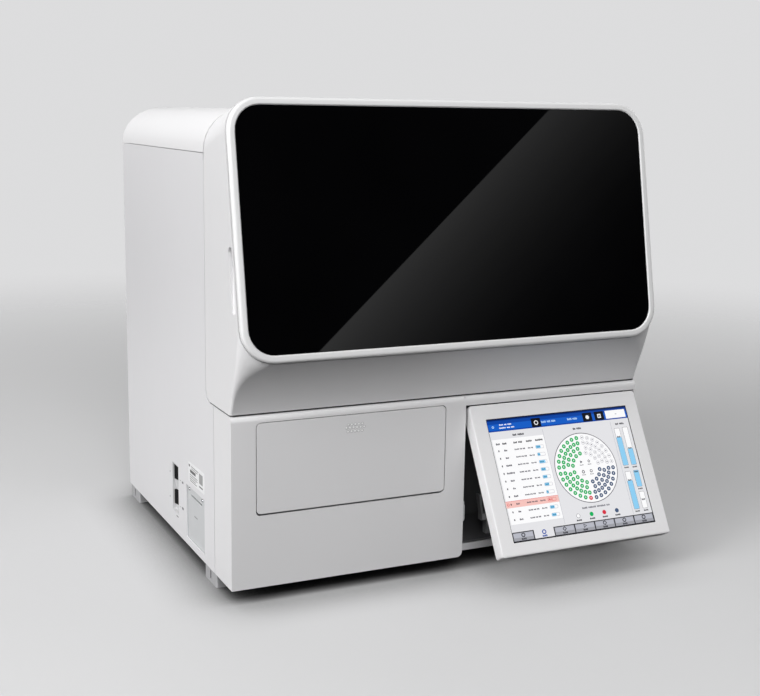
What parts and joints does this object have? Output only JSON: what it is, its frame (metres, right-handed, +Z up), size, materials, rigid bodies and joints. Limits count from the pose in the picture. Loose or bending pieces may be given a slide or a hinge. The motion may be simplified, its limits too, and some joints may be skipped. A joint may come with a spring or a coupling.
{
  "type": "chemiluminescence immunoassay analyzer",
  "caption": "Benchtop immunoassay analyzer with a tilted black glass hood that swings up, a drop-down waste door, a tilting touch display and side switches.",
  "frame": {"origin": "on the floor under the middle of the whole machine, display included", "axes": "+Z up, +X to the operator's right, +Y from the front to the back"},
  "size_m": [0.65, 0.6565, 0.6794],
  "materials": {
    "white_panel": "satin powder coat, faintly textured",
    "white_moulding": "fine textured moulding, satin",
    "satin_frame": "satin silver grey",
    "hood_glass": "gloss, black tinted",
    "light_grey": "satin",
    "grey_sheet": "satin paint",
    "mid_grey": "satin",
    "dark_liner": "matt",
    "black_plastic": "satin",
    "steel": "fine turned or brushed",
    "aluminium": "fine turned",
    "screen": "smooth, lit",
    "amber_pack": "smooth",
    "blue_rack": "satin"
  },
  "bodies": {
    "housing": {"back_wall": "white_panel", "base_plate": "white_panel", "bin_bay": "grey_sheet", "buffer_bottle_front": "white_moulding", "buffer_bottle_rear": "white_moulding", "deck_plate": "grey_sheet", "detector": "black_plastic", "display_stop": "white_moulding", "door_latch": "dark_liner", "fan_frame": "black_plastic", "fan_guard": "steel", "filter_cover": "light_grey", "fluid_manifold": "dark_liner", "foot_front_left": "light_grey", "foot_front_right": "light_grey", "foot_rear_left": "light_grey", "foot_rear_right": "light_grey", "front_fascia": "white_moulding", "hinge_beam": "steel", "incubator_motor": "black_plastic", "incubator_tray": "light_grey", "pipettor_column": "white_moulding", "power_inlet": "black_plastic", "reagent_motor": "black_plastic", "rear_panel": "white_panel", "sample_motor": "black_plastic", "screen_bay": "dark_liner", "side_frame_left": "steel", "side_frame_right": "steel", "side_panel_left": "white_panel", "side_panel_right": "white_panel", "switch_recess": "mid_grey", "tip_rack": "blue_rack", "top_cover": "white_moulding", "wash_station": "light_grey", "wash_well": "white_moulding", "waste_bin": "mid_grey"},
    "hood": {"hood_shell": "white_moulding", "hood_ring": "satin_frame", "hood_glass": "hood_glass", "hood_hinge": "steel"},
    "door": {"waste_door": "white_moulding"},
    "display": {"display_bezel": "white_moulding", "display_panel": "screen", "display_back": "white_moulding"},
    "main_rocker": {"main_switch": "black_plastic"},
    "cooling_rocker": {"cooling_switch": "black_plastic"},
    "fan": {"fan_rotor": "black_plastic"},
    "sample_rotor": {"sample_carousel": "white_moulding", "sample_hub": "steel"},
    "reagent_rotor": {"reagent_carousel": "mid_grey", "reagent_hub": "steel", "reagent_pack_1": "amber_pack", "reagent_pack_2": "amber_pack", "reagent_pack_3": "amber_pack"},
    "incubator": {"incubator_rotor": "aluminium"},
    "mast": {"pipettor_mast": "steel"},
    "arm": {"pipettor_arm": "white_moulding", "pipettor_probe": "steel"}
  },
  "joints": [
    {"name": "hood_hinge", "type": "hinge", "parent": "housing", "child": "hood", "pos_m": [0, -0.12369, 0.655], "axis": [-1, 0, 0], "range_deg": [0, 75]},
    {"name": "door_hinge", "type": "hinge", "parent": "housing", "child": "door", "pos_m": [-0.1465, -0.21349, 0.135], "axis": [1, 0, 0], "range_deg": [0, 85]},
    {"name": "display_tilt", "type": "hinge", "parent": "housing", "child": "display", "pos_m": [0.1773, -0.21199, 0.23256], "axis": [-1, 0, 0], "range_deg": [-28, 25]},
    {"name": "main_rocker_tip", "type": "hinge", "parent": "housing", "child": "main_rocker", "pos_m": [-0.31635, 0.04611, 0.1151], "axis": [0, 0, -1], "range_deg": [0, 12]},
    {"name": "cooling_rocker_tip", "type": "hinge", "parent": "housing", "child": "cooling_rocker", "pos_m": [-0.31635, 0.04611, 0.0756], "axis": [0, 0, -1], "range_deg": [0, 12]},
    {"name": "fan_spin", "type": "hinge", "parent": "housing", "child": "fan", "pos_m": [-0.19, 0.30251, 0.462], "axis": [0, 1, 0], "continuous": true},
    {"name": "sample_spin", "type": "hinge", "parent": "housing", "child": "sample_rotor", "pos_m": [-0.16, 0.02031, 0.2724], "axis": [0, 0, 1], "continuous": true},
    {"name": "reagent_spin", "type": "hinge", "parent": "housing", "child": "reagent_rotor", "pos_m": [0.165, -0.00469, 0.2724], "axis": [0, 0, 1], "continuous": true},
    {"name": "incubator_spin", "type": "hinge", "parent": "housing", "child": "incubator", "pos_m": [0.18, 0.21031, 0.2606], "axis": [0, 0, 1], "continuous": true},
    {"name": "mast_lift", "type": "slide", "parent": "housing", "child": "mast", "axis": [0, 0, 1], "range_m": [0, 0.06]},
    {"name": "arm_swing", "type": "hinge", "parent": "mast", "child": "arm", "pos_m": [0, 0.22031, 0.2639], "axis": [0, 0, 1], "range_deg": [-100, 100]}
  ]
}
